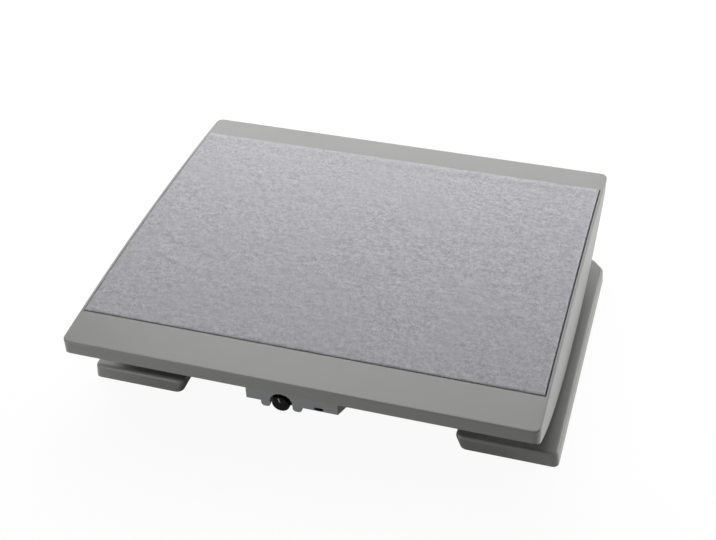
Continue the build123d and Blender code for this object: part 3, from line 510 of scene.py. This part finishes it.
def make_carpet(material):
    """The carpet as one cut sheet: a crowned, uneven pile, rounded at three edges and rolled at the rear."""
    low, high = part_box("carpet_mat")
    xs = edge_lines(low.x, high.x)
    ys = edge_lines(low.y, high.y)
    shape = (len(xs), len(ys))
    plain_x = np.broadcast_to(xs[:, None], shape)
    plain_y = np.broadcast_to(ys[None, :], shape)
    crown = np.broadcast_to(crown_height(ys)[None, :], shape)
    inside = np.clip(CARPET_ROUND - edge_distance(xs, ys), 0, CARPET_ROUND)
    drop = CARPET_ROUND - np.sqrt(CARPET_ROUND**2 - inside**2)
    off_rim = inside < CARPET_ROUND
    random = np.random.default_rng(CARPET_SEED)
    pile = np.zeros(shape)
    for reach, height in (PILE_COARSE, PILE_FINE):
        uneven = blurred(random.standard_normal(shape), reach)
        pile += height * np.clip(uneven, -PILE_LIMIT, PILE_LIMIT)
    pile *= np.clip((ys[-1] - ys) / CARPET_ROUND, 0, 1) * off_rim
    ragged = PILE_RAGGED * random.uniform(-1, 1, shape) * (inside > 0) * off_rim
    top = crown + CARPET_PROUD + rear_roll(ys) + pile - drop
    back = crown - (crown_height(low.y) - low.z)
    top_points = np.stack([plain_x + ragged, plain_y, top], -1).reshape(-1, 3)
    back_points = np.stack([plain_x, plain_y, back], -1).reshape(-1, 3)
    points = np.concatenate([top_points, back_points])
    piece = new_piece("carpet_sheet", points, sheet_faces(shape), "platform", material)
    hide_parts("carpet_mat")


# Studio


def make_camera():
    """The camera at the photograph's place and angle."""
    yaw, pitch, roll = CAMERA_YAW, CAMERA_PITCH, CAMERA_ROLL
    ahead = Vector(
        (math.sin(yaw) * math.cos(pitch), math.cos(yaw) * math.cos(pitch), -math.sin(pitch))
    )
    level = Vector((math.cos(yaw), -math.sin(yaw), 0))
    upright = level.cross(ahead)
    right = math.cos(roll) * level + math.sin(roll) * upright
    up = math.cos(roll) * upright - math.sin(roll) * level
    turn = Matrix((right, up, -ahead)).transposed().to_4x4()
    data = bpy.data.cameras.new("camera")
    data.lens = CAMERA_LENS
    data.sensor_width = SENSOR_WIDTH
    data.clip_start, data.clip_end = CAMERA_CLIP
    camera = bpy.data.objects.new("camera", data)
    camera.matrix_world = Matrix.Translation(CAMERA_PLACE) @ turn
    bpy.context.scene.collection.objects.link(camera)
    bpy.context.scene.camera = camera


def seen_directly(tree):
    """1 for rays from the camera, a mirror or glass, and 0 for the rays that carry light."""
    path = add_node(tree, "ShaderNodeLightPath")
    seen = path.outputs["Is Camera Ray"]
    for name in ("Is Glossy Ray", "Is Transmission Ray"):
        seen = calculate(tree, "MAXIMUM", seen, path.outputs[name])
    return seen


def floor_brightness(tree):
    """How bright the floor looks: white far away, with a painted shadow under the platform that only a gloss
    mirrors.
    """
    place = object_place(tree)
    reach = vector_math(tree, "LENGTH", place)
    plain = remap(tree, reach.outputs["Value"], FLOOR_FADE, (FLOOR_GLOW, 1))
    share = vector_math(tree, "DIVIDE", place, SHADOW_HALF)
    aside = vector_math(tree, "ABSOLUTE", share.outputs["Vector"])
    parts = add_node(tree, "ShaderNodeSeparateXYZ")
    tree.links.new(aside.outputs["Vector"], parts.inputs[0])
    farther = calculate(tree, "MAXIMUM", parts.outputs["X"], parts.outputs["Y"])
    # Painted shadow under the platform: the floor is darkened there only for glossy rays
    painted_shadow = remap(tree, farther, SHADOW_FADE, (1 - SHADOW_GLOW, 0))
    path = add_node(tree, "ShaderNodeLightPath")
    shadow_in_gloss = calculate(tree, "MULTIPLY", painted_shadow, path.outputs["Is Glossy Ray"])
    return calculate(tree, "MULTIPLY", plain, remap(tree, shadow_in_gloss, (0, 1), (1, 0)))


def floor_material():
    """White where it is seen, with a faint shadow of the object, and clear from below."""
    material, tree, shader = new_material("floor")
    tree.nodes.remove(shader)
    glow = add_node(tree, "ShaderNodeEmission", Color=WHITE)
    tree.links.new(floor_brightness(tree), glow.inputs["Strength"])
    catch = add_node(tree, "ShaderNodeBsdfDiffuse", Color=FLOOR_CATCH)
    shown = add_node(tree, "ShaderNodeAddShader")
    tree.links.new(glow.outputs[0], shown.inputs[0])
    tree.links.new(catch.outputs[0], shown.inputs[1])
    bounce = add_node(tree, "ShaderNodeBsdfDiffuse", Color=FLOOR_BOUNCE)
    above = mix_shaders(tree, seen_directly(tree), bounce.outputs[0], shown.outputs[0])
    side = add_node(tree, "ShaderNodeNewGeometry")
    clear = add_node(tree, "ShaderNodeBsdfTransparent")
    surface = mix_shaders(tree, side.outputs["Backfacing"], above, clear.outputs[0])
    tree.links.new(surface, tree.nodes["Material Output"].inputs["Surface"])
    return material


def make_floor():
    """A plain square floor."""
    half = FLOOR_HALF
    corners = [(-half, -half, 0), (half, -half, 0), (half, half, 0), (-half, half, 0)]
    mesh = bpy.data.meshes.new("floor")
    mesh.from_pydata(corners, [], [(0, 1, 2, 3)])
    mesh.materials.append(floor_material())
    floor = bpy.data.objects.new("floor", mesh)
    bpy.context.scene.collection.objects.link(floor)


def make_world():
    """White where it is seen, and a soft even light elsewhere."""
    world = bpy.data.worlds.new("studio")
    world.use_nodes = True
    bpy.context.scene.world = world
    tree = world.node_tree
    background = tree.nodes["Background"]
    background.inputs["Color"].default_value = WHITE
    strength = remap(tree, seen_directly(tree), (0, 1), (AMBIENT, 1))
    tree.links.new(strength, background.inputs["Strength"])


def add_lamp(name, place, size, power):
    """A rectangular softbox at a place, aimed at the object."""
    data = bpy.data.lights.new(name, "AREA")
    data.shape = "RECTANGLE"
    data.size, data.size_y = size
    data.energy = power
    lamp = bpy.data.objects.new(name, data)
    lamp.location = place
    lamp.rotation_euler = (Vector(LAMP_AIM) - Vector(place)).to_track_quat("-Z", "Y").to_euler()
    lamp.visible_camera = False
    bpy.context.scene.collection.objects.link(lamp)


bpy.context.scene.view_settings.view_transform = "Standard"
make_camera()
materials = make_materials()
dress_nodes(materials)
make_carpet(materials["carpet"])
make_floor()
make_world()
for lamp_values in LAMPS:
    add_lamp(*lamp_values)
